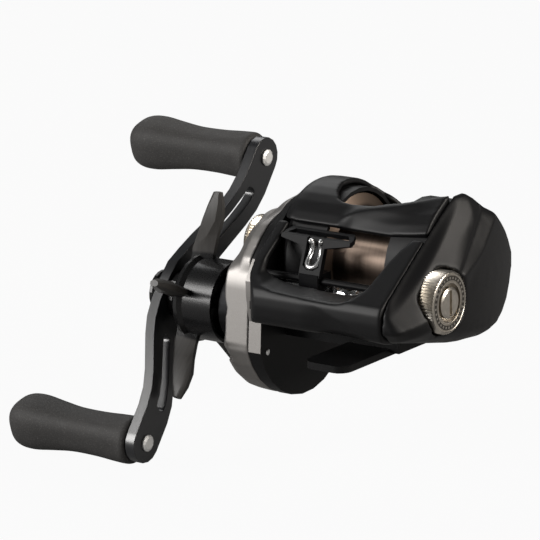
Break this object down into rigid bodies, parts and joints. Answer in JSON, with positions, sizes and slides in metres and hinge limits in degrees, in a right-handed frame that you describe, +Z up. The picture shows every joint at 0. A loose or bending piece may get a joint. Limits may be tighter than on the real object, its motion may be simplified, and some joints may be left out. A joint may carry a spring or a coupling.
{
  "type": "baitcasting reel",
  "caption": "Low-profile baitcasting fishing reel: metal frame with a foot, spool, geared crank handle with foam knobs, star drag, level wind and cast brake dial.",
  "frame": {"origin": "on the flat underside of the reel foot, below the spool axis and midway along it", "axes": "+X along the spool axis to the palm side, +Y to the rear, +Z up from the rod"},
  "size_m": [0.134, 0.0739, 0.0846],
  "materials": {
    "satin_black": "satin black",
    "frame_black": "black anodised",
    "gunmetal": "satin gunmetal",
    "dark_bronze": "anodised dark bronze",
    "champagne_silver": "champagne silver, knurled",
    "steel": "polished",
    "brass": "machined",
    "foam": "matte foam",
    "carbon": "woven carbon fibre",
    "resin": "moulded",
    "chrome": "polished"
  },
  "bodies": {
    "reel_body": {"frame": "frame_black", "front_cover": "satin_black", "top_hood": "satin_black", "gear_cover": "gunmetal", "palm_side_plate": "satin_black", "gear_cover_screw_1": "steel", "gear_cover_screw_2": "steel", "gear_cover_screw_3": "steel", "spool_bearing_palm": "steel", "spool_bearing_handle": "steel", "pinion_bearing": "steel", "drive_shaft_bearing": "steel", "one_way_clutch": "steel", "guide_bar": "steel", "cast_control_shim": "brass"},
    "crank": {"drive_shaft": "steel", "drive_gear": "brass", "drag_washer_1": "carbon", "drag_washer_2": "carbon", "key_washer": "steel", "pressure_plate": "steel", "level_wind_drive_gear": "resin", "ratchet": "steel", "spring_washer": "steel", "handle": "frame_black", "handle_collar": "gunmetal", "handle_nut": "steel", "nut_cap": "gunmetal", "nut_cap_screw": "steel", "knob_shaft_front": "steel", "knob_shaft_rear": "steel"},
    "star": {"star_drag": "gunmetal"},
    "front_knob": {"knob_front": "foam"},
    "rear_knob": {"knob_rear": "foam"},
    "spool_set": {"spool": "dark_bronze", "spool_shaft": "steel", "inductor_rotor": "steel"},
    "yoke_set": {"yoke": "resin", "yoke_spring_1": "steel", "yoke_spring_2": "steel"},
    "pinion": {"pinion_gear": "brass"},
    "cam": {"clutch_cam": "steel"},
    "thumb": {"thumb_bar": "satin_black"},
    "idler": {"level_wind_idler": "resin"},
    "worm": {"worm_gear": "resin", "worm_shaft": "steel"},
    "guide": {"line_guide": "satin_black", "guide_insert": "chrome", "level_wind_pawl": "brass", "pawl_cap": "steel"},
    "dial": {"brake_dial": "champagne_silver"},
    "plate_screw": {"side_plate_screw": "steel"},
    "magnets": {"magnet_holder": "resin"},
    "cast_cap": {"cast_control_cap": "champagne_silver"}
  },
  "joints": [
    {"name": "handle_turn", "type": "hinge", "parent": "reel_body", "child": "crank", "pos_m": [-0.073, -0.00485, 0.00441], "axis": [1, 0, 0], "continuous": true},
    {"name": "star_turn", "type": "hinge", "parent": "crank", "child": "star", "pos_m": [-0.057, -0.00485, 0.00441], "axis": [1, 0, 0], "range_deg": [-90, 270]},
    {"name": "front_knob_spin", "type": "hinge", "parent": "crank", "child": "front_knob", "pos_m": [-0.08, -0.0339, -0.02996], "axis": [1, 0, 0], "continuous": true},
    {"name": "rear_knob_spin", "type": "hinge", "parent": "crank", "child": "rear_knob", "pos_m": [-0.08, 0.0242, 0.03878], "axis": [1, 0, 0], "continuous": true},
    {"name": "spool_spin", "type": "hinge", "parent": "reel_body", "child": "spool_set", "pos_m": [0, 0, 0.022], "axis": [1, 0, 0], "continuous": true},
    {"name": "yoke_slide", "type": "slide", "parent": "reel_body", "child": "yoke_set", "axis": [-1, 0, 0], "range_m": [0, 0.001]},
    {"name": "pinion_spin", "type": "hinge", "parent": "yoke_set", "child": "pinion", "pos_m": [-0.03, 0, 0.022], "axis": [1, 0, 0], "continuous": true},
    {"name": "cam_turn", "type": "hinge", "parent": "reel_body", "child": "cam", "pos_m": [-0.0295, 0, 0.022], "axis": [1, 0, 0], "range_deg": [0, 30]},
    {"name": "thumb_press", "type": "slide", "parent": "reel_body", "child": "thumb", "axis": [0, 0, -1], "range_m": [0, 0.004]},
    {"name": "idler_spin", "type": "hinge", "parent": "reel_body", "child": "idler", "pos_m": [-0.033, -0.01456, 0.01056], "axis": [1, 0, 0], "continuous": true},
    {"name": "worm_spin", "type": "hinge", "parent": "reel_body", "child": "worm", "pos_m": [-0.033, -0.01981, 0.0166], "axis": [1, 0, 0], "continuous": true},
    {"name": "guide_travel", "type": "slide", "parent": "reel_body", "child": "guide", "axis": [1, 0, 0], "range_m": [0, 0.014]},
    {"name": "dial_turn", "type": "hinge", "parent": "reel_body", "child": "dial", "pos_m": [0.026, -0.019, 0.0188], "axis": [1, 0, 0], "range_deg": [0, 270]},
    {"name": "plate_screw_turn", "type": "hinge", "parent": "reel_body", "child": "plate_screw", "pos_m": [0.028, -0.019, 0.0188], "axis": [1, 0, 0], "range_deg": [0, 180]},
    {"name": "magnet_travel", "type": "slide", "parent": "reel_body", "child": "magnets", "axis": [1, 0, 0], "range_m": [0, 0.0015]},
    {"name": "cast_cap_turn", "type": "hinge", "parent": "reel_body", "child": "cast_cap", "pos_m": [-0.045, 0, 0.022], "axis": [1, 0, 0], "range_deg": [-180, 180]}
  ],
  "couplings": [
    {"joint": "spool_spin", "follows": "handle_turn", "ratio": -7.1111},
    {"joint": "pinion_spin", "follows": "handle_turn", "ratio": -7.1111},
    {"joint": "idler_spin", "follows": "handle_turn", "ratio": -1.875},
    {"joint": "worm_spin", "follows": "handle_turn", "ratio": 1.875},
    {"joint": "yoke_slide", "follows": "thumb_press", "ratio": 0.25},
    {"joint": "cam_turn", "follows": "thumb_press", "rad_per_m": 130.46},
    {"joint": "magnet_travel", "follows": "dial_turn", "m_per_rad": 0.0003162}
  ]
}
